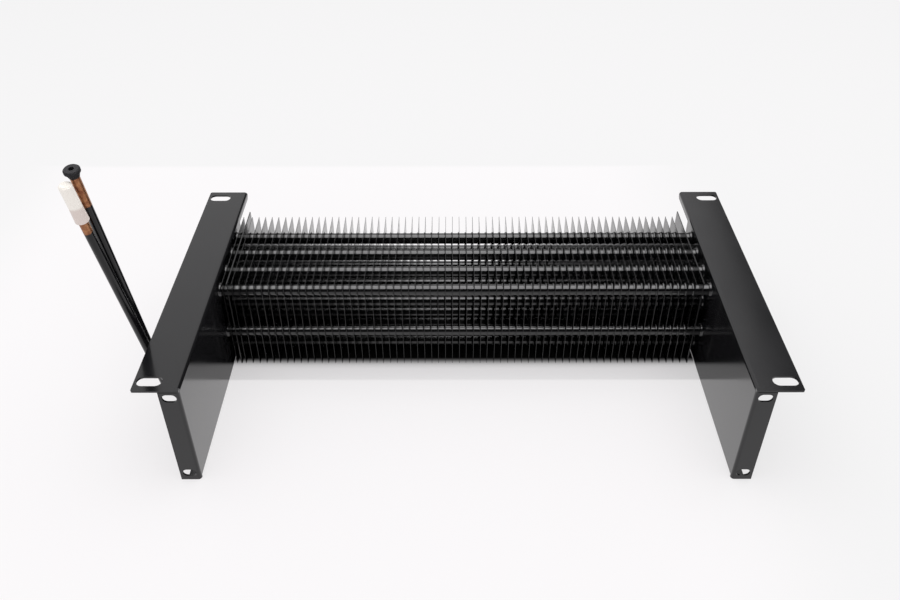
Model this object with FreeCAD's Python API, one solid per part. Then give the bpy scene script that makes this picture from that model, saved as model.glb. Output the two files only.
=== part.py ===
# Evaporator coil: a black coated fin and tube block between two folded sheet
# brackets, with two thin copper pipes that rise past the left bracket.
# Millimetres. +X runs along the tubes, +Y from the front to the back and +Z up.
# The origin is the middle of the four mounting slots, on top of the flanges.
import FreeCAD, Part
import math
import os

from FreeCAD import Vector

# Brackets: folded steel sheet, a mirrored pair
inner_span = 405.0          # clear width between the two side plates
sheet_t = 1.5
fold_r = 1.0                # inside radius of every fold
bracket_depth = 266.0       # length of the top flange, front to back
bracket_height = 93.5
top_flange_w = 34.0
front_flange_w = 15.3
foot_w = 10.0               # lip along the bottom edge
flange_corner_r = 1.5       # outer corners of the top flange
side_plate_tail = 0.2       # the side plate ends this far behind the fins
tail_lip_h = 6.0            # what is left of the side plate behind it
tail_lip_r = 4.0
corner_gap = 0.5            # cut between two flanges that meet at a corner

# Slots in the flanges
top_slot_w = 9.5
top_slot_len = 18.5
top_slot_inset = 10.0       # slot centre from the front and back edges
top_slot_edge = 11.0        # slot centre from the outer edge of the flange
front_slot_w = 7.0
front_slot_len = 10.5
front_slot_reach = 7.8      # slot centre from the inner face of the side plate
front_slot_drop = 7.5       # slot centre below the top and above the bottom

# Tube pattern
tube_od = 9.52
tube_wall = 0.5
tube_pitch = 25.0           # between tubes of a row, and between staggered rows
row_count = 4
tubes_per_row = 4
first_tube_inset = 6.25     # first tube of the top row, from the front of the fins
row_step = tube_pitch * math.sin(math.radians(60))
row_shift = tube_pitch / 2

# Fins and the end plates of the block
fin_t = 0.3
fin_pitch = 6.0
fin_count = 64              # between the two end plates
first_fin_gap = 3.7         # first fin, from the left end plate
outer_fin_gap = 4.0         # the one fin outside the left end plate, from that plate
fin_depth = 100.0
fin_front_inset = 124.8     # front of the fins, behind the front of the brackets
fin_drop = 0.7              # top of the fins, below the top of the flanges
end_plate_t = 0.8
end_plate_gap = 8.5         # end plates, from the side plates
end_plate_tail = 8.4        # how far the end plates stand out behind the fins

# Tube ends and bends
hole_clearance = 0.1        # round each tube, in the side plates
bend_stub = 3.0             # straight tube between a side plate and a bend
bell_wall = 0.6
bell_len = 7.5
bell_stub = 1.5             # plain tube between the side plate and the bell
joint_depth = 6.0           # how far a fitting goes into a bell
return_stub = 1.0           # straight tube between a bell and a return bend

# Connecting pipes
pipe_od = 6.35
pipe_wall = 0.8
pipe_bend_r = 12.0
reducer_neck = 3.0
reducer_cone = 3.0
reducer_socket = 7.0
reducer_wall = 0.9
elbow_reach = 11.0          # corner of the pipes' elbows, from the reducer's socket

# Outlet pipe, the rear one: foot and top of its upright run
outlet_out = 8.4            # axis outside the flange edge, at flange level
outlet_back = 64.9          # axis behind the front of the bracket
outlet_lean_x_deg = -0.8
outlet_lean_y_deg = -10.76
outlet_top = 151.5
outlet_low = -22.0

# Inlet pipe, the front one
inlet_out = 5.5
inlet_back = 54.8
inlet_lean_x_deg = -3.38
inlet_lean_y_deg = -10.09
inlet_top = 131.5
inlet_low = -64.0

# Stoppers on the pipe ends
cap_od = 8.7
cap_rim_od = 9.4
cap_len = 30.0
cap_grip = 11.0             # how far the cap is pushed over the pipe
cap_end_t = 2.5
cap_edge = 1.0
plug_head_od = 10.8
plug_head_t = 3.2
plug_head_edge = 0.8
plug_collar_od = 9.0        # under the head; the collar narrows towards the pipe
plug_foot_od = 7.0
plug_collar_t = 3.0
plug_stem_len = 12.0
plug_hole_d = 3.6
plug_hole_depth = 8.0

# Places worked out from the sizes above
x_in = inner_span / 2
x_out = x_in + sheet_t
y_front = -bracket_depth / 2
y_back = bracket_depth / 2
fold_out_r = fold_r + sheet_t
tube_r = tube_od / 2
pipe_r = pipe_od / 2
fin_front = y_front + fin_front_inset
fin_height = row_step * row_count
row_top = -fin_drop - row_step / 2
bell_start = -x_out - bell_stub
bell_mouth = bell_start - bell_len


def tube_place(row, column):
    """Y and Z of one tube's axis; odd rows stand half a pitch further back."""
    y = fin_front + first_tube_inset + column * tube_pitch + (row % 2) * row_shift
    return y, row_top - row * row_step


def rounded_outline(corners, plane):
    """Closed face from (a, b, radius) corners, on the plane 'xz', 'yz' or 'xy'."""
    def put(a, b):
        if plane == "xz":
            return Vector(a, 0, b)
        if plane == "yz":
            return Vector(0, a, b)
        return Vector(a, b, 0)

    marks = []
    count = len(corners)
    for i, (a, b, radius) in enumerate(corners):
        here = put(a, b)
        if radius <= 0:
            marks.append((here, here, here))
            continue
        before = put(*corners[i - 1][:2]) - here
        after = put(*corners[(i + 1) % count][:2]) - here
        before.normalize()
        after.normalize()
        half = before.getAngle(after) / 2
        cut = radius / math.tan(half)
        middle = (before + after).normalize()
        crown = here + middle * (radius / math.sin(half) - radius)
        marks.append((here + before * cut, crown, here + after * cut))
    edges = []
    for i, (start, crown, end) in enumerate(marks):
        if (end - start).Length > 1e-6:
            edges.append(Part.Arc(start, crown, end).toShape())
        following = marks[(i + 1) % count][0]
        if (following - end).Length > 1e-6:
            edges.append(Part.LineSegment(end, following).toShape())
    return Part.Face(Part.Wire(edges))


def slot_cutter(centre, across, width, length, through):
    """Slot with round ends: its length runs along X, 'across' is 'y' or 'z'."""
    half = length / 2 - width / 2
    normal = Vector(0, 0, 1) if across == "y" else Vector(0, 1, 0)
    side = Vector(0, 1, 0) if across == "y" else Vector(0, 0, 1)
    base = centre - normal * (through / 2)
    left = base - Vector(half, 0, 0)
    right = base + Vector(half, 0, 0)
    reach = side * (width / 2)
    edges = [
        Part.LineSegment(left + reach, right + reach).toShape(),
        Part.Arc(right + reach, right + Vector(width / 2, 0, 0), right - reach).toShape(),
        Part.LineSegment(right - reach, left - reach).toShape(),
        Part.Arc(left - reach, left - Vector(width / 2, 0, 0), left + reach).toShape(),
    ]
    return Part.Face(Part.Wire(edges)).extrude(normal * through)


def bent_pipe(points, radius, wall, bend_r):
    """Round pipe along straight runs with a tangent arc of bend_r at each corner."""
    def ring(centre, along):
        discs = [Part.Face(Part.Wire(Part.makeCircle(r, centre, along)))
                 for r in (radius, radius - wall)]
        return discs[0].cut(discs[1])

    pieces = []
    start = points[0]
    for i in range(1, len(points)):
        along = (points[i] - points[i - 1]).normalize()
        end = points[i]
        if i < len(points) - 1:
            onward = (points[i + 1] - points[i]).normalize()
            turn = along.getAngle(onward)
            cut = bend_r * math.tan(turn / 2)
            end = points[i] - along * cut
        run = (end - start).Length
        if run > 1e-4:
            pieces.append(ring(start, along).extrude(along * run))
        if i < len(points) - 1:
            axis = along.cross(onward).normalize()
            centre = end + axis.cross(along) * bend_r
            pieces.append(ring(end, along).revolve(centre, axis, math.degrees(turn)))
            start = points[i] + onward * cut
    return pieces[0].multiFuse(pieces[1:]).removeSplitter()


def tube_cutters(x, through, radius):
    """Sixteen round cutters on the tube pattern, centred on the plane x."""
    cutters = []
    for row in range(row_count):
        for column in range(tubes_per_row):
            start = Vector(x - through / 2, *tube_place(row, column))
            cutters.append(Part.makeCylinder(radius, through, start, Vector(1, 0, 0)))
    return Part.makeCompound(cutters)


def blank_plate(x, thickness, depth):
    """Plate of the block before its holes, centred on the plane x."""
    corner = Vector(x - thickness / 2, fin_front, -fin_drop - fin_height)
    return Part.makeBox(thickness, depth, fin_height, corner)


def fin_plate(x):
    """One fin, with one slot for each row of tubes."""
    plate = blank_plate(x, fin_t, fin_depth)
    slot_len = (tubes_per_row - 1) * tube_pitch + tube_od
    for row in range(row_count):
        y, z = tube_place(row, 0)
        corner = Vector(x - fin_t, y - tube_r, z - tube_r)
        plate = plate.cut(Part.makeBox(fin_t * 2, slot_len, tube_od, corner))
    return plate


def end_plate(x):
    """Stiffer plate that closes the fin block, with a round hole for each tube."""
    plate = blank_plate(x, end_plate_t, fin_depth + end_plate_tail)
    return plate.cut(tube_cutters(x, end_plate_t * 3, tube_r))


def right_bracket():
    """Side plate with top flange, front flange and foot, all turned outwards."""
    fold_start = y_front + fold_out_r + corner_gap
    section = rounded_outline([
        (x_in, -bracket_height, fold_out_r),
        (x_in, 0, fold_out_r),
        (x_in + top_flange_w, 0, 0),
        (x_in + top_flange_w, -sheet_t, 0),
        (x_out, -sheet_t, fold_r),
        (x_out, -bracket_height + sheet_t, fold_r),
        (x_in + foot_w, -bracket_height + sheet_t, 0),
        (x_in + foot_w, -bracket_height, 0),
    ], "xz")
    section.translate(Vector(0, fold_start, 0))
    body = section.extrude(Vector(0, y_back - fold_start, 0))

    plate_end = fin_front + fin_depth + side_plate_tail
    side_view = rounded_outline([
        (y_front, -bracket_height, 0),
        (y_front, 0, 0),
        (y_back, 0, 0),
        (y_back, -tail_lip_h, tail_lip_r),
        (plate_end, -tail_lip_h, sheet_t),
        (plate_end, -bracket_height, 0),
    ], "yz")
    side_view.translate(Vector(x_in - 1, 0, 0))
    body = body.common(side_view.extrude(Vector(top_flange_w + 2, 0, 0)))

    flange_tip = Part.makeBox(top_flange_w, fold_start - y_front, sheet_t,
                              Vector(x_in, y_front, -sheet_t))
    front_plan = rounded_outline([
        (x_in, y_front, fold_out_r),
        (x_in + front_flange_w, y_front, 0),
        (x_in + front_flange_w, y_front + sheet_t, 0),
        (x_out, y_front + sheet_t, fold_r),
        (x_out, fold_start, 0),
        (x_in, fold_start, 0),
    ], "xy")
    front_plan.translate(Vector(0, 0, -bracket_height))
    front = front_plan.extrude(Vector(0, 0, bracket_height - sheet_t - corner_gap))
    body = body.multiFuse([flange_tip, front]).removeSplitter()

    plan = rounded_outline([
        (x_in - 1, y_front, 0),
        (x_in + top_flange_w, y_front, flange_corner_r),
        (x_in + top_flange_w, y_back, flange_corner_r),
        (x_in - 1, y_back, 0),
    ], "xy")
    plan.translate(Vector(0, 0, -bracket_height))
    body = body.common(plan.extrude(Vector(0, 0, bracket_height)))

    cutters = []
    for y in (y_front + top_slot_inset, y_back - top_slot_inset):
        centre = Vector(x_in + top_flange_w - top_slot_edge, y, -sheet_t / 2)
        cutters.append(slot_cutter(centre, "y", top_slot_w, top_slot_len, sheet_t * 2))
    for z in (-front_slot_drop, front_slot_drop - bracket_height):
        centre = Vector(x_in + front_slot_reach, y_front + sheet_t / 2, z)
        cutters.append(slot_cutter(centre, "z", front_slot_w, front_slot_len, sheet_t * 2))
    cutters.append(tube_cutters(x_in + sheet_t / 2, sheet_t * 3, tube_r + hole_clearance))
    return body.cut(Part.makeCompound(cutters))


def hairpin(row, column):
    """Long U of tube through the block; its open ends are belled on the left."""
    turn = x_out + bend_stub + tube_pitch / 2
    ends = [Vector(bell_start, *tube_place(row, column + i)) for i in (0, 1)]
    corners = [Vector(turn, end.y, end.z) for end in ends]
    tube = bent_pipe([ends[0], *corners, ends[1]], tube_r, tube_wall, tube_pitch / 2)
    outwards = Vector(-1, 0, 0)
    for end in ends:
        bell = Part.makeCylinder(tube_r + bell_wall, bell_len, end, outwards)
        seat = end + outwards * (bell_len - joint_depth)
        bell = bell.cut(Part.makeCylinder(tube_r, joint_depth, seat, outwards))
        bell = bell.cut(Part.makeCylinder(tube_r - tube_wall, bell_len, end, outwards))
        tube = tube.fuse(bell)
    return tube.removeSplitter()


def return_bend(place_a, place_b):
    """Short U that joins two belled ends on the left."""
    inner = bell_mouth + joint_depth
    turn = bell_mouth - return_stub - tube_pitch / 2
    points = [Vector(inner, *place_a), Vector(turn, *place_a),
              Vector(turn, *place_b), Vector(inner, *place_b)]
    return bent_pipe(points, tube_r, tube_wall, tube_pitch / 2)


def reducer(row, column):
    """Stepped sleeve from a belled tube end down to a connecting pipe."""
    y, z = tube_place(row, column)
    shoulder = bell_mouth - reducer_neck
    socket = shoulder - reducer_cone
    socket_r = pipe_r + reducer_wall
    profile = [
        (bell_mouth + joint_depth, tube_r - reducer_wall),
        (bell_mouth + joint_depth, tube_r),
        (shoulder, tube_r),
        (socket, socket_r),
        (socket - reducer_socket, socket_r),
        (socket - reducer_socket, pipe_r),
        (socket, pipe_r),
        (socket, pipe_r - pipe_wall),
        (shoulder, tube_r - reducer_wall),
    ]
    corners = [Vector(x, y + r, z) for x, r in profile]
    face = Part.Face(Part.makePolygon(corners + corners[:1]))
    return face.revolve(Vector(0, y, z), Vector(1, 0, 0), 360)


def pipe_route(out, back, lean_x_deg, lean_y_deg, top, low, row, column):
    """Corner points of a connecting pipe, from its socket to its open end."""
    edge = -x_in - top_flange_w
    foot = Vector(edge - out, y_front + back, 0)
    lean = Vector(math.tan(math.radians(lean_x_deg)), math.tan(math.radians(lean_y_deg)), 1)
    y, z = tube_place(row, column)
    socket = bell_mouth - reducer_neck - reducer_cone
    elbow = Vector(socket - reducer_socket - elbow_reach, y, z)
    return [Vector(socket, y, z), elbow,
            foot + lean * low, foot + lean * top]


def turned(profile, end, along):
    """Revolve (distance, radius) points about a pipe's axis, from the pipe's end."""
    side = along.cross(Vector(0, 1, 0)).normalize()
    corners = [end + along * d + side * r for d, r in profile]
    face = Part.Face(Part.makePolygon(corners + corners[:1]))
    return face.revolve(end, along, 360)


def pipe_cap(route):
    """Soft plastic sleeve cap pushed part of the way over the inlet pipe's end."""
    along = (route[-1] - route[-2]).normalize()
    rim = -cap_grip
    top = rim + cap_len
    profile = [
        (rim, pipe_r),
        (rim, cap_rim_od / 2),
        (0, cap_od / 2),
        (top - cap_edge, cap_od / 2),
        (top, cap_od / 2 - cap_edge),
        (top, 0),
        (top - cap_end_t, 0),
        (top - cap_end_t, pipe_r),
    ]
    return turned(profile, route[-1], along)


def pipe_plug(route):
    """Rubber plug in the outlet pipe's end, with a blind hole in its head."""
    along = (route[-1] - route[-2]).normalize()
    bore_r = pipe_r - pipe_wall
    head_low = plug_collar_t
    head_top = plug_collar_t + plug_head_t
    head_r = plug_head_od / 2
    profile = [
        (-plug_stem_len, 0),
        (-plug_stem_len, bore_r),
        (0, bore_r),
        (0, plug_foot_od / 2),
        (head_low, plug_collar_od / 2),
        (head_low, head_r - plug_head_edge),
        (head_low + plug_head_edge, head_r),
        (head_top - plug_head_edge, head_r),
        (head_top, head_r - plug_head_edge),
        (head_top, plug_hole_d / 2),
        (head_top - plug_hole_depth, plug_hole_d / 2),
        (head_top - plug_hole_depth, 0),
    ]
    return turned(profile, route[-1], along)


def circuit():
    """Hairpins and return bends in the order in which the refrigerant meets them."""
    run = []
    for row in range(row_count):
        columns = range(tubes_per_row)
        run += [(row, c) for c in (columns if row % 2 == 0 else reversed(columns))]
    return run


def main():
    os.makedirs("parts", exist_ok=True)
    nodes = {}
    right = right_bracket()
    nodes["right_bracket"] = right
    nodes["left_bracket"] = right.mirror(Vector(0, 0, 0), Vector(1, 0, 0))

    x_end = x_in - end_plate_gap
    places = [-x_end - outer_fin_gap]
    places += [-x_end + first_fin_gap + fin_pitch * i for i in range(fin_count)]
    fin = fin_plate(0)
    fins = []
    for x in places:
        copy = fin.copy()
        copy.translate(Vector(x, 0, 0))
        fins.append(copy)
    nodes["fins"] = Part.makeCompound(fins)
    nodes["left_end_plate"] = end_plate(-x_end)
    nodes["right_end_plate"] = end_plate(x_end)

    run = circuit()
    for i in range(0, len(run), 2):
        row = run[i][0]
        nodes[f"hairpin_{i // 2 + 1}"] = hairpin(row, min(run[i][1], run[i + 1][1]))
    for i in range(1, len(run) - 1, 2):
        ends = tube_place(*run[i]), tube_place(*run[i + 1])
        nodes[f"return_bend_{(i + 1) // 2}"] = return_bend(*ends)

    outlet = pipe_route(outlet_out, outlet_back, outlet_lean_x_deg, outlet_lean_y_deg,
                        outlet_top, outlet_low, *run[0])
    inlet = pipe_route(inlet_out, inlet_back, inlet_lean_x_deg, inlet_lean_y_deg,
                       inlet_top, inlet_low, *run[-1])
    nodes["outlet_reducer"] = reducer(*run[0])
    nodes["inlet_reducer"] = reducer(*run[-1])
    nodes["outlet_pipe"] = bent_pipe(outlet, pipe_r, pipe_wall, pipe_bend_r)
    nodes["inlet_pipe"] = bent_pipe(inlet, pipe_r, pipe_wall, pipe_bend_r)
    nodes["inlet_cap"] = pipe_cap(inlet)
    nodes["outlet_plug"] = pipe_plug(outlet)

    for name, shape in nodes.items():
        shape.exportStep(f"parts/{name}.step")
        print(name, len(shape.Solids), "solid(s)", round(shape.Volume / 1000, 2), "cm3")


main()
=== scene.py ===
# %% [markdown]
# # An evaporator coil
# An evaporator is the cold half of a small refrigeration circuit. Refrigerant boils inside its tubes,
# and air gives up its heat to thin fins that are threaded on them. This one hangs between two folded
# sheet brackets and is coated black all over, so what the eye reads is gloss, edges and gaps.

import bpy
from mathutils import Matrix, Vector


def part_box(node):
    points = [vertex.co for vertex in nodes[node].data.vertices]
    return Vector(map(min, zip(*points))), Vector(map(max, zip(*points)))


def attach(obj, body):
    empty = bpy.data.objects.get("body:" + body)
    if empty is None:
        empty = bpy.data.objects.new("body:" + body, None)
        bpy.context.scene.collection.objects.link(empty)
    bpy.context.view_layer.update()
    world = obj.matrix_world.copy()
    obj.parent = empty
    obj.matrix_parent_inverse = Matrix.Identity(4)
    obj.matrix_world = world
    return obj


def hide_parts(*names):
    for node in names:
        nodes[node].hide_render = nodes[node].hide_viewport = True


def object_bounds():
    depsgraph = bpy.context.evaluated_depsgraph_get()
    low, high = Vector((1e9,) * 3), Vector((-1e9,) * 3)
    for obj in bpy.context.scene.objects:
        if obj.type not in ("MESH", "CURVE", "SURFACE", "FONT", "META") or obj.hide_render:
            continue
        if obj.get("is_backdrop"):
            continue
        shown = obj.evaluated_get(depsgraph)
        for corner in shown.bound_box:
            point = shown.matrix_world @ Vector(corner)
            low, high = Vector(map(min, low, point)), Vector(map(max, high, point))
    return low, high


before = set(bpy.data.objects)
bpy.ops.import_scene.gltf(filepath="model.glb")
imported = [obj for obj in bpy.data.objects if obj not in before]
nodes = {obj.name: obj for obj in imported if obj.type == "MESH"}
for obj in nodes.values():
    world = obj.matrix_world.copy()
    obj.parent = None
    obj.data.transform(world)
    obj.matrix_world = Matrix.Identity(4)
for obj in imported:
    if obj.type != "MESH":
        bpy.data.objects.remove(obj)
cad_low, cad_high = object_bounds()
print(len(nodes), "nodes, box", [round(v, 4) for v in cad_high - cad_low], "m")

# %% The modules that the lesson needs
import math
import random

import bmesh
import bpy
from mathutils import Matrix, Vector

scene = bpy.context.scene
scene.view_settings.view_transform = "Standard"

# %% [markdown]
# ## The camera
# A product photograph of something this wide is taken from some seven tenths of a metre, looking down.
# The place and the tilt are fitted to the corners of the flanges, with the sizes that the model gives
# them. A lens of about 35 mm on a full frame gives the same converging sides.

# %% Camera
lens_pixels, picture_width = 879.06, 900
camera_data = bpy.data.cameras.new("camera")
camera_data.sensor_width = 36
camera_data.lens = lens_pixels / picture_width * camera_data.sensor_width
camera_data.clip_start = 0.01
camera = bpy.data.objects.new("camera", camera_data)
scene.collection.objects.link(camera)
tilt, turn, roll = (math.radians(a) for a in (51.72, 0.136, -0.141))
camera_place = (-0.0110, -0.5763, 0.4310)
camera.matrix_world = (Matrix.Translation(camera_place) @ Matrix.Rotation(turn, 4, "Z")
                       @ Matrix.Rotation(tilt, 4, "X") @ Matrix.Rotation(roll, 4, "Z"))
scene.camera = camera
print("lens", round(camera_data.lens, 2), "mm")

# %% [markdown]
# ## A few small helpers
# A colour is given as an sRGB hex value, and a shader works in linear light, so one function turns
# the first into the second. A material is a handful of nodes, and one more function adds a node
# with its settings and its links in a single readable line. Arithmetic on two sockets is so common
# that it gets a function of its own.

# %% Colour and node helpers
def linear(code, alpha=1.0):
    channels = [int(code[i:i + 2], 16) / 255 for i in (1, 3, 5)]
    return tuple(c / 12.92 if c <= 0.04045 else ((c + 0.055) / 1.055) ** 2.4 for c in channels) + (alpha,)


def add(tree, kind, settings={}, links={}):
    node = tree.nodes.new("ShaderNode" + kind)
    for name, value in settings.items():
        if isinstance(name, str) and hasattr(node, name):
            setattr(node, name, value)
        else:
            node.inputs[name].default_value = value
    for name, source in links.items():
        tree.links.new(source, node.inputs[name])
    return node


def new_material(name):
    material = bpy.data.materials.new(name)
    material.use_nodes = True
    material.node_tree.nodes.clear()
    return material, material.node_tree


def calculate(tree, operation, first, second):
    return add(tree, "Math", {"operation": operation}, {0: first, 1: second}).outputs[0]


print("a mid grey is", [round(c, 4) for c in linear("#808080")])

# %% [markdown]
# ## The studio
# Glossy black shows little but what stands round it, so the room is drawn for the mirror image. Behind
# the coil the sweep is white, over it hangs a large soft light, and the photographer's side is dark.
# To the right, past the end of the sweep, the room is dark too, and that darkness lies on the front of
# the right flange. Matt things see the same plain white level from all sides.

# %% White seen directly, a studio in the mirror
def seen_or_mirrored(tree):
    rays = add(tree, "LightPath").outputs
    direct = calculate(tree, "MAXIMUM", rays["Is Camera Ray"], rays["Is Transmission Ray"])
    return calculate(tree, "MAXIMUM", direct, rays["Is Glossy Ray"]), rays["Is Glossy Ray"]


def heading(azimuth, elevation):
    a, e = math.radians(azimuth), math.radians(elevation)
    return Vector((math.sin(a) * math.cos(e), math.cos(a) * math.cos(e), math.sin(e)))


def smooth_step(tree, source, start, end, low=0.0, high=1.0):
    return add(tree, "MapRange", {"From Min": start, "From Max": end, "To Min": low, "To Max": high,
                                  "interpolation_type": "SMOOTHSTEP"}, {"Value": source}).outputs[0]


world = bpy.data.worlds.new("studio")
scene.world = world
world.use_nodes = True
world.cycles.sampling_method = "NONE"
tree = world.node_tree
tree.nodes.clear()
seen, mirrored = seen_or_mirrored(tree)
where = add(tree, "TexCoord").outputs["Generated"]
compass = add(tree, "SeparateXYZ", links={0: where})
# the dark part of the room starts at the plane that these two directions span
room_edge = heading(21.0, 34.8).cross(heading(25.8, 40.8)).normalized()
room_edge *= math.copysign(1, room_edge.x)
side = add(tree, "VectorMath", {"operation": "DOT_PRODUCT", 1: room_edge}, {0: where})
matt_level, past_the_sweep, photographer_side, ceiling_light = 0.9, 0.06, 0.05, 5.5
dark_side = smooth_step(tree, side.outputs["Value"], 0.007, 0.025, 1.0, past_the_sweep)
sweep = smooth_step(tree, compass.outputs["Y"], -0.25, 0.1, photographer_side, 1.0)
wall = calculate(tree, "MULTIPLY", dark_side, sweep)
ceiling = smooth_step(tree, compass.outputs["Z"], 0.76, 0.86)
mirror = add(tree, "Mix", {"data_type": "FLOAT", 3: ceiling_light}, {0: ceiling, 2: wall})
level = add(tree, "MapRange", {"To Min": matt_level, "To Max": 1.0}, {"Value": seen})
strength = add(tree, "Mix", {"data_type": "FLOAT"},
               {0: mirrored, 2: level.outputs[0], 3: mirror.outputs[0]})
background = add(tree, "Background", {"Color": linear("#fcfbfc")}, {"Strength": strength.outputs[0]})
add(tree, "OutputWorld", links={"Surface": background.outputs[0]})
print("room edge faces", [round(v, 2) for v in room_edge])

# %% [markdown]
# ## The light
# The floor shadow in the photograph is so faint that it hardly has an edge. One lamp of more than two
# metres, high over the coil, gives that. It is kept out of the mirror, where the room above stands in
# for it.

# %% One wide soft light overhead
def soft_light(name, place, size, radiance):
    data = bpy.data.lights.new(name, "AREA")
    data.shape, data.size, data.size_y = "RECTANGLE", size[0], size[1]
    data.energy = radiance * math.pi * size[0] * size[1]
    lamp = bpy.data.objects.new(name, data)
    lamp.location = place
    lamp.rotation_euler = (-Vector(place)).to_track_quat("-Z", "Y").to_euler()
    lamp.visible_glossy = False
    scene.collection.objects.link(lamp)
    return lamp


overhead = soft_light("overhead", place=(0, 0.2, 1.5), size=(2.6, 1.1), radiance=1.2)
print("lamp energy", round(overhead.data.energy, 2), "W")

# %% [markdown]
# ## The paper
# A white sweep in a product shot is lit until it is nearly as bright as the page. The sheet lies a
# hair under the lowest edge of the coil, so that nothing sinks into it.

# %% The sheet under the object
hair = 0.0002
bm = bmesh.new()
bmesh.ops.create_grid(bm, x_segments=1, y_segments=1, size=6)
bmesh.ops.translate(bm, vec=(0, 0, cad_low.z - hair), verts=bm.verts)
mesh = bpy.data.meshes.new("floor")
bm.to_mesh(mesh)
bm.free()
floor = bpy.data.objects.new("floor", mesh)
scene.collection.objects.link(floor)
floor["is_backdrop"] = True
print("paper at", round(cad_low.z, 4), "m")

# %% [markdown]
# ## Shade on the paper
# Black plates and a stack of black fins let hardly any light down to the paper below them, so the
# gaps between the fins are black. That shadow is painted on the paper as a depth of shade from 0 to 1:
# full under the block, fainter behind it, a faint band before it, and none past the side plates.

# %% How deep the shade is at each spot
paper, tree = new_material("white_paper_sweep")
seen, mirrored = seen_or_mirrored(tree)
spot = add(tree, "SeparateXYZ", links={0: add(tree, "TexCoord").outputs["Object"]})
along, back = spot.outputs["X"], spot.outputs["Y"]
aside = add(tree, "Math", {"operation": "ABSOLUTE"}, {0: along}).outputs[0]
inner_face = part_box("right_bracket")[0].x

# where each fade starts and ends, in metres from front to rear, and how deep the shade is there
band_front, block_front, block_rear = (-0.0240, -0.0215), (-0.0060, 0.0060), (0.090, 0.115)
plates_rear, shade_rear = (0.094, 0.115), (0.135, 0.185)
band_seen, band_mirrored, block_shade, share_behind = 0.35, 0.66, 0.65, 0.68

# the painted shadow band is deeper where the paper is seen in a mirror
band_depth = add(tree, "MapRange", {"To Min": band_seen, "To Max": band_mirrored},
                 {"Value": mirrored}).outputs[0]
band = calculate(tree, "MULTIPLY", smooth_step(tree, back, *band_front), band_depth)
under = smooth_step(tree, back, *block_front, 0.0, block_shade)
shade = calculate(tree, "ADD", band, under)
fainter = smooth_step(tree, back, *block_rear, 1.0, share_behind)
rear_end = smooth_step(tree, back, *shade_rear, 1.0, 0.0)

# beside the plates the shade ends at once, and behind them it ends softly
side_start = smooth_step(tree, back, *plates_rear, inner_face + 0.0005, inner_face - 0.06)
side_end = add(tree, "MapRange", {"From Max": inner_face + 0.001, "To Min": 1.0, "To Max": 0.0,
                                  "interpolation_type": "SMOOTHSTEP"},
               {"Value": aside, "From Min": side_start}).outputs[0]
for fade in (fainter, rear_end, side_end):
    shade = calculate(tree, "MULTIPLY", shade, fade)
print("shade between the side plates at", round(inner_face, 4), "m")

# %% [markdown]
# ## Glow and matt paper
# Most of the paper's light is a glow for the camera and for mirrors, and the rest is matt paper, which
# takes the shadow. The painted shade takes both away. Between the plates the paper seen in mirrors is
# painted a little brighter, and past the far edge and towards both sides it is a shade darker.

# %% The paper's two layers
glow_share, extra_glow = 0.7, 0.3
far_edge, right_side, left_side = (0.341, 0.351), (0.15, 0.30), (-0.53, -0.42)
before_the_coil = (-0.14, -0.12)

open_glow = add(tree, "MapRange", {"To Min": glow_share, "To Max": 0.0}, {"Value": shade}).outputs[0]
share = calculate(tree, "MULTIPLY", seen, open_glow)
dim = smooth_step(tree, back, *far_edge)
for beyond in (smooth_step(tree, along, *right_side), smooth_step(tree, along, *left_side, 1.0, 0.0)):
    dim = calculate(tree, "MAXIMUM", dim, beyond)
glow_tone = add(tree, "Mix", {"data_type": "RGBA", 6: linear("#fbf9fa"), 7: linear("#f3f3f3")}, {0: dim})
# painted reflection: between the plates the paper seen in a mirror glows brighter
lift = mirrored
for inside in (smooth_step(tree, aside, inner_face, inner_face + 0.001, extra_glow, 0.0),
               smooth_step(tree, back, *before_the_coil)):
    lift = calculate(tree, "MULTIPLY", lift, inside)
power = add(tree, "Math", {"operation": "ADD", 1: 1.0}, {0: lift})
glow = add(tree, "Emission", links={"Color": glow_tone.outputs[2], "Strength": power.outputs[0]})
# painted shadow: where the painted shade is deep, the matt paper's own colour is painted near black
darkened = smooth_step(tree, shade, 0.36, 0.9)
matt_tone = add(tree, "Mix", {"data_type": "RGBA", 6: linear("#f1f0f1"), 7: linear("#1c1c1c")},
                {0: darkened})
matt = add(tree, "BsdfDiffuse", links={"Color": matt_tone.outputs[2]})
both = add(tree, "MixShader", links={0: share, 1: matt.outputs[0], 2: glow.outputs[0]})
add(tree, "OutputMaterial", links={"Surface": both.outputs[0]})
floor.data.materials.append(paper)
print("paper layers:", glow.name, "over", matt.name)

# %% [markdown]
# ## Black coatings
# The brackets are steel sheet with a baked polyester powder coat. Powder melts into a skin with a faint
# ripple like orange peel, about a millimetre and a half from crest to crest, so mirrored edges wobble a
# little. Fins and tubes were dipped: their black is thinner and deeper.

# %% Powder coat on the brackets
powder_coat, tree = new_material("black_powder_coat")
place = add(tree, "TexCoord")
ripple = add(tree, "TexNoise", {"Scale": 1 / 0.0015, "Detail": 1.0}, {"Vector": place.outputs["Object"]})
handled = add(tree, "TexNoise", {"Scale": 1 / 0.06, "Detail": 3.0}, {"Vector": place.outputs["Object"]})
tone = add(tree, "Mix", {"data_type": "RGBA", 6: linear("#121213"), 7: linear("#19191b")},
           {0: handled.outputs[0]})
gloss = add(tree, "MapRange", {"From Min": 0.3, "From Max": 0.7, "To Min": 0.10, "To Max": 0.16},
            {"Value": handled.outputs[0]})
peel = add(tree, "Bump", {"Strength": 0.06, "Distance": 0.0001}, {"Height": ripple.outputs[0]})
skin = add(tree, "BsdfPrincipled", {"IOR": 1.5},
           {"Base Color": tone.outputs[2], "Roughness": gloss.outputs[0], "Normal": peel.outputs[0]})
add(tree, "OutputMaterial", links={"Surface": skin.outputs[0]})
print("powder coat:", len(tree.nodes), "nodes")

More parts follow.
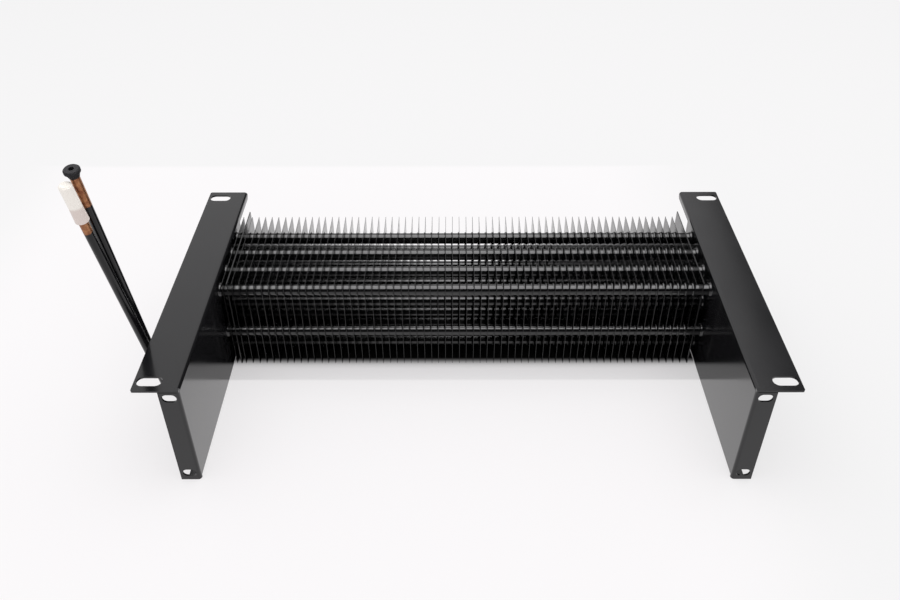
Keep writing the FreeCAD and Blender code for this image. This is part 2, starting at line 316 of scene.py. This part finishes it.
# %% Dipped coat on the fins and the tubes
def dipped_coat(name, code, roughness, grain_mm, index):
    material, tree = new_material(name)
    place = add(tree, "TexCoord")
    grain = add(tree, "TexNoise", {"Scale": 1000 / grain_mm, "Detail": 2.0},
                {"Vector": place.outputs["Object"]})
    spread = add(tree, "MapRange", {"From Min": 0.3, "From Max": 0.7, "To Min": roughness * 0.8,
                                    "To Max": roughness * 1.3}, {"Value": grain.outputs[0]})
    sag = add(tree, "Bump", {"Strength": 0.08, "Distance": 0.0001}, {"Height": grain.outputs[0]})
    coat = add(tree, "BsdfPrincipled", {"Base Color": linear(code), "IOR": index},
               {"Roughness": spread.outputs[0], "Normal": sag.outputs[0]})
    add(tree, "OutputMaterial", links={"Surface": coat.outputs[0]})
    return material


fin_coat = dipped_coat("black_epoxy_on_aluminium_fin", "#0b0b0c", roughness=0.18, grain_mm=3.0, index=1.52)
tube_coat = dipped_coat("black_enamel_on_copper_tube", "#0d0d0e", roughness=0.12, grain_mm=5.0, index=1.52)
print("coats:", powder_coat.name, fin_coat.name, tube_coat.name)

# %% [markdown]
# ## Copper pipes
# The two pipes stood up out of the bath, so the black stops at a slanting line near their open ends.
# Above it the copper is bare, and heat from the brazing torch has stained it brown in places.

# %% Copper that was dipped up to a line
def dipped_copper(name, line_z, pipe_x, slant=0.35, drips=0.0012):
    material, tree = new_material(name)
    place = add(tree, "TexCoord")
    height = add(tree, "VectorMath", {"operation": "DOT_PRODUCT", 1: (-slant, 0, 1)},
                 {0: place.outputs["Object"]})
    drip = add(tree, "TexNoise", {"Scale": 1 / 0.003, "Detail": 2.0}, {"Vector": place.outputs["Object"]})
    line = line_z - slant * pipe_x
    wander = add(tree, "MapRange", {"To Min": line - drips, "To Max": line + drips},
                 {"Value": drip.outputs[0]})
    bare = calculate(tree, "GREATER_THAN", height.outputs["Value"], wander.outputs[0])
    stain = add(tree, "TexNoise", {"Scale": 1 / 0.004, "Detail": 4.0}, {"Vector": place.outputs["Object"]})
    metal_tone = add(tree, "ValToRGB", links={0: stain.outputs[0]})
    ramp = metal_tone.color_ramp
    ramp.elements[0].position, ramp.elements[0].color = 0.35, linear("#84533c")
    ramp.elements[1].position, ramp.elements[1].color = 0.70, linear("#bd8962")
    metal = add(tree, "BsdfPrincipled", {"Metallic": 1.0, "Roughness": 0.42},
                {"Base Color": metal_tone.outputs[0]})
    coat = add(tree, "BsdfPrincipled", {"Base Color": linear("#0d0d0f"), "Roughness": 0.2, "IOR": 1.4})
    both = add(tree, "MixShader", links={0: bare, 1: coat.outputs[0], 2: metal.outputs[0]})
    add(tree, "OutputMaterial", links={"Surface": both.outputs[0]})
    return material


outlet_copper = dipped_copper("dipped_copper_outlet", line_z=0.1268, pipe_x=-0.2467)
inlet_copper = dipped_copper("dipped_copper_inlet", line_z=0.1098, pipe_x=-0.2485)
print("copper:", outlet_copper.name, inlet_copper.name)

# %% [markdown]
# ## Stoppers
# A new coil is shipped with its pipes closed. The rubber plug is nearly black and scatters light. The
# cap is soft polyethylene, milky and half see-through, drawn in two tones: where it is empty it fades
# into the page, and where copper stands inside it turns pinkish grey.

# %% Black rubber
rubber, tree = new_material("black_rubber")
place = add(tree, "TexCoord")
dust = add(tree, "TexNoise", {"Scale": 1 / 0.0008, "Detail": 3.0}, {"Vector": place.outputs["Object"]})
tone = add(tree, "Mix", {"data_type": "RGBA", 6: linear("#19191b"), 7: linear("#282729")},
           {0: dust.outputs[0]})
rough = add(tree, "Bump", {"Strength": 0.2, "Distance": 0.0001}, {"Height": dust.outputs[0]})
body = add(tree, "BsdfPrincipled", {"Roughness": 0.6, "IOR": 1.52, "Specular IOR Level": 0.2},
           {"Base Color": tone.outputs[2], "Normal": rough.outputs[0]})
add(tree, "OutputMaterial", links={"Surface": body.outputs[0]})
print("rubber:", len(tree.nodes), "nodes")

# %% Milky polyethylene
pipe_end_z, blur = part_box("inlet_pipe")[1].z, 0.0012
polyethylene, tree = new_material("soft_polyethylene")
place = add(tree, "TexCoord")
height = add(tree, "SeparateXYZ", links={0: place.outputs["Object"]})
filled = smooth_step(tree, height.outputs["Z"], pipe_end_z - blur, pipe_end_z + blur)
tone = add(tree, "Mix", {"data_type": "RGBA", 6: linear("#dccfc8"), 7: linear("#f5f0e8")}, {0: filled})
body = add(tree, "BsdfPrincipled", {"Roughness": 0.42, "IOR": 1.51}, {"Base Color": tone.outputs[2]})
add(tree, "OutputMaterial", links={"Surface": body.outputs[0]})
print("copper stands in the cap up to", round(pipe_end_z, 4), "m")

# %% [markdown]
# ## Finishes on the measured nodes
# The measured nodes keep their own shape, and each takes one material by its name.

# %% Give each CAD node its finish
def finish_node(name, material):
    data = nodes[name].data
    data.materials.clear()
    data.materials.append(material)


for name in nodes:
    if name.endswith("bracket"):
        finish_node(name, powder_coat)
    elif name in ("fins", "left_end_plate", "right_end_plate"):
        finish_node(name, fin_coat)
    elif name.startswith(("hairpin", "return_bend")) or name.endswith("reducer"):
        finish_node(name, tube_coat)
finish_node("outlet_pipe", outlet_copper)
finish_node("inlet_pipe", inlet_copper)
finish_node("outlet_plug", rubber)
finish_node("inlet_cap", polyethylene)
print("finished:", sum(bool(node.data.materials) for node in nodes.values()), "nodes")

# %% [markdown]
# ## Fins with drawn collars
# A fin is punched from aluminium strip, and each hole is drawn out into a collar that grips the tube.
# The sheet could be a box with sixteen cylinders cut from it, but a punch and a draw say it better:
# outline and holes are filled as one flat sheet, the hole edges are pulled out into collars, and the
# sheet gets its thickness last. Pulled edges come back in no fixed order, so corners and faces are
# sorted by place once a shape is done, and every run gives them in the same order.

# %% Where the tubes run
fin_thickness = 0.0003
tube_radius = 0.00952 / 2
first_tube, rows, tubes_per_row = 0.00625, 4, 4
pitch, row_step = 0.025, 0.025 * math.sin(math.radians(60))
fins_low, fins_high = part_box("fins")
top_row_z = fins_high.z - row_step / 2
tube_centres = [(fins_low.y + first_tube + (column + row % 2 / 2) * pitch, top_row_z - row * row_step)
                for row in range(rows) for column in range(tubes_per_row)]
print(len(tube_centres), "tubes, first at", [round(v * 1000, 2) for v in tube_centres[0]], "mm")

# %% From a bmesh to a piece of the coil
def as_piece(name, bm, material, smooth=True):
    mesh = bpy.data.meshes.new(name)
    bm.to_mesh(mesh)
    bm.free()
    mesh.shade_smooth() if smooth else mesh.shade_flat()
    mesh.materials.append(material)
    piece = bpy.data.objects.new(name, mesh)
    scene.collection.objects.link(piece)
    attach(piece, "root")
    return piece


# %% Sheet, holes and collars
fin_ring_sides, ring_sides = 16, 24


def upright_ring(bm, centre, radius, x, segments):
    turned = Matrix.Translation((x, *centre)) @ Matrix.Rotation(math.pi / 2, 4, "Y")
    made = bmesh.ops.create_circle(bm, cap_ends=False, segments=segments, radius=radius, matrix=turned)
    return list(dict.fromkeys(e for v in made["verts"] for e in v.link_edges))


def put_in_order(bm):
    for parts, place in ((bm.verts, lambda v: v.co), (bm.faces, lambda f: f.calc_center_median())):
        ranked = sorted(parts, key=lambda part: tuple(round(c, 7) for c in place(part)))
        rank = {part: i for i, part in enumerate(ranked)}
        parts.sort(key=rank.get)


def draw_collar(bm, ring, centre, steps):
    for radius, x in steps:
        made = bmesh.ops.extrude_edge_only(bm, edges=ring)["geom"]
        verts = [g for g in made if isinstance(g, bmesh.types.BMVert)]
        ring = [g for g in made if isinstance(g, bmesh.types.BMEdge) and all(v in verts for v in g.verts)]
        middle = Vector((0, *centre))
        for v in verts:
            out = Vector((0, v.co.y, v.co.z)) - middle
            v.co = middle + out.normalized() * radius + Vector((x, 0, 0))


# how far the sheet stands off the tube, and how far it is drawn out of its plane
funnel = [(0.0013, 0), (0.0010, -0.0001), (0.0007, -0.0003), (0.0005, -0.0007), (0.00032, -0.0014)]


def fin_sheet():
    bm = bmesh.new()
    outline = bmesh.ops.create_grid(bm, x_segments=1, y_segments=1, size=0.5)["verts"]
    bmesh.ops.rotate(bm, verts=outline, matrix=Matrix.Rotation(math.pi / 2, 3, "Y"))
    bmesh.ops.scale(bm, verts=outline, vec=(1, fins_high.y - fins_low.y, fins_high.z - fins_low.z))
    bmesh.ops.translate(bm, verts=outline, vec=(0, *((fins_low + fins_high) / 2)[1:]))
    bmesh.ops.delete(bm, geom=bm.faces[:], context="FACES_ONLY")
    rings = [upright_ring(bm, centre, tube_radius + funnel[0][0], 0, fin_ring_sides)
             for centre in tube_centres]
    bmesh.ops.triangle_fill(bm, use_beauty=True, use_dissolve=False, edges=bm.edges[:])
    for ring, centre in zip(rings, tube_centres):
        draw_collar(bm, ring, centre, [(tube_radius + out, x) for out, x in funnel[1:]])
    bmesh.ops.recalc_face_normals(bm, faces=bm.faces)
    flat = max(bm.faces, key=lambda f: f.calc_area())
    if flat.normal.x < 0:
        bmesh.ops.reverse_faces(bm, faces=bm.faces)
    bmesh.ops.solidify(bm, geom=bm.faces[:], thickness=fin_thickness)
    put_in_order(bm)
    return bm


sheet = fin_sheet()
print("one fin:", sum(len(f.verts) - 2 for f in sheet.faces), "triangles")

# %% [markdown]
# ## The stack
# A fin of 0.3 mm bends under its own punch, and a stack that is perfectly even looks drawn, not made.
# Each fin leans and twists by up to a sixth of a millimetre. The odd one out stands outside the left
# end plate.

# %% Sixty-five fins, none of them quite straight
random.seed(7)
outer_fin = fins_low.x + fin_thickness / 2
outer_gap, fin_pitch, inner_fins = 0.0077, 0.006, 64
fin_places = [outer_fin] + [outer_fin + outer_gap + fin_pitch * i for i in range(inner_fins)]
half_stack = 33
most_lean, most_twist = 0.00016, 0.00014


def fin_pack(name, places):
    bm = bmesh.new()
    half_height, half_depth = (fins_high.z - fins_low.z) / 2, (fins_high.y - fins_low.y) / 2
    for x in places:
        lean = random.uniform(-most_lean, most_lean)
        twist = random.uniform(-most_twist, most_twist)
        copy = sheet.copy()
        for v in copy.verts:
            up = (v.co.z - (fins_low.z + half_height)) / half_height
            rearwards = (v.co.y - (fins_low.y + half_depth)) / half_depth
            v.co.x += x + fin_thickness / 2 + lean * up + twist * rearwards
        held = bpy.data.meshes.new("one_fin")
        copy.to_mesh(held)
        copy.free()
        bm.from_mesh(held)
        bpy.data.meshes.remove(held)
    return as_piece(name, bm, fin_coat, smooth=False)


fin_packs = [fin_pack("fins_left_half", fin_places[:half_stack]),
             fin_pack("fins_right_half", fin_places[half_stack:])]
for piece in fin_packs:
    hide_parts("fins")
    print(piece.name, sum(len(f.vertices) - 2 for f in piece.data.polygons), "triangles")

# %% [markdown]
# ## Collars in the side plates
# A thin sheet that rests on a copper tube would saw through it, so each hole in a side plate is drawn
# inwards into a short round collar as well. From the front these are the small glints at the end of
# every tube.

# %% Plate collars
# how far each ring of the collar stands off the tube, and how far it reaches into the block
collar_profile = [(0.0021, 0), (0.0013, 0.0004), (0.0010, 0.0012), (0.0009, 0.0024),
                  (0.0006, 0.0026), (0.0001, 0.0026), (0.0001, 0)]


def plate_collars(name, face_x, inwards):
    bm = bmesh.new()
    for centre in tube_centres:
        ring = upright_ring(bm, centre, tube_radius + collar_profile[0][0], face_x, ring_sides)
        draw_collar(bm, ring, centre, [(tube_radius + out, face_x + inwards * reach)
                                       for out, reach in collar_profile[1:]])
    bmesh.ops.recalc_face_normals(bm, faces=bm.faces)
    put_in_order(bm)
    return as_piece(name, bm, powder_coat)


for name, face_x, inwards in (("right_plate_collars", inner_face, -1),
                              ("left_plate_collars", -inner_face, 1)):
    piece = plate_collars(name, face_x, inwards)
    print(piece.name, len(piece.data.polygons), "faces")

# %% [markdown]
# ## Brazed joints
# Every joint on the left was made with a torch: molten filler is drawn into the gap and leaves a small
# hollow fillet round the mouth. Each one here is a ring pulled through four radii.

# %% Braze fillets
def braze_fillet(bm, centre, mouth_x, mouth_radius, inner_radius, seat=0.0002):
    ring = upright_ring(bm, centre, mouth_radius, mouth_x + seat, ring_sides)
    reach = mouth_radius - inner_radius
    draw_collar(bm, ring, centre, [(mouth_radius - reach * 0.1, mouth_x - reach * 0.15),
                                   (mouth_radius - reach * 0.5, mouth_x - reach * 0.5),
                                   (mouth_radius - reach * 0.85, mouth_x - reach),
                                   (inner_radius, mouth_x - reach * 1.4)])


bm = bmesh.new()
bell_wall, socket_wall = 0.0006, 0.0009
bell_mouth, bell_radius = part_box("hairpin_1")[0].x, tube_radius + bell_wall
pipe_radius = 0.00635 / 2
socket_radius = pipe_radius + socket_wall
for centre in tube_centres:
    braze_fillet(bm, centre, bell_mouth, bell_radius, tube_radius)
for name in ("outlet_reducer", "inlet_reducer"):
    low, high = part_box(name)
    middle = (low + high) / 2
    braze_fillet(bm, (middle.y, middle.z), low.x, socket_radius, pipe_radius)
bmesh.ops.recalc_face_normals(bm, faces=bm.faces)
put_in_order(bm)
fillets = as_piece("braze_fillets", bm, tube_coat)
print("fillets:", len(tube_centres) + 2, "rings,", len(fillets.data.polygons), "faces")

# %% Sizes, then the last line
low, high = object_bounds()
print("visual box", [round(v, 4) for v in high - low], "m")
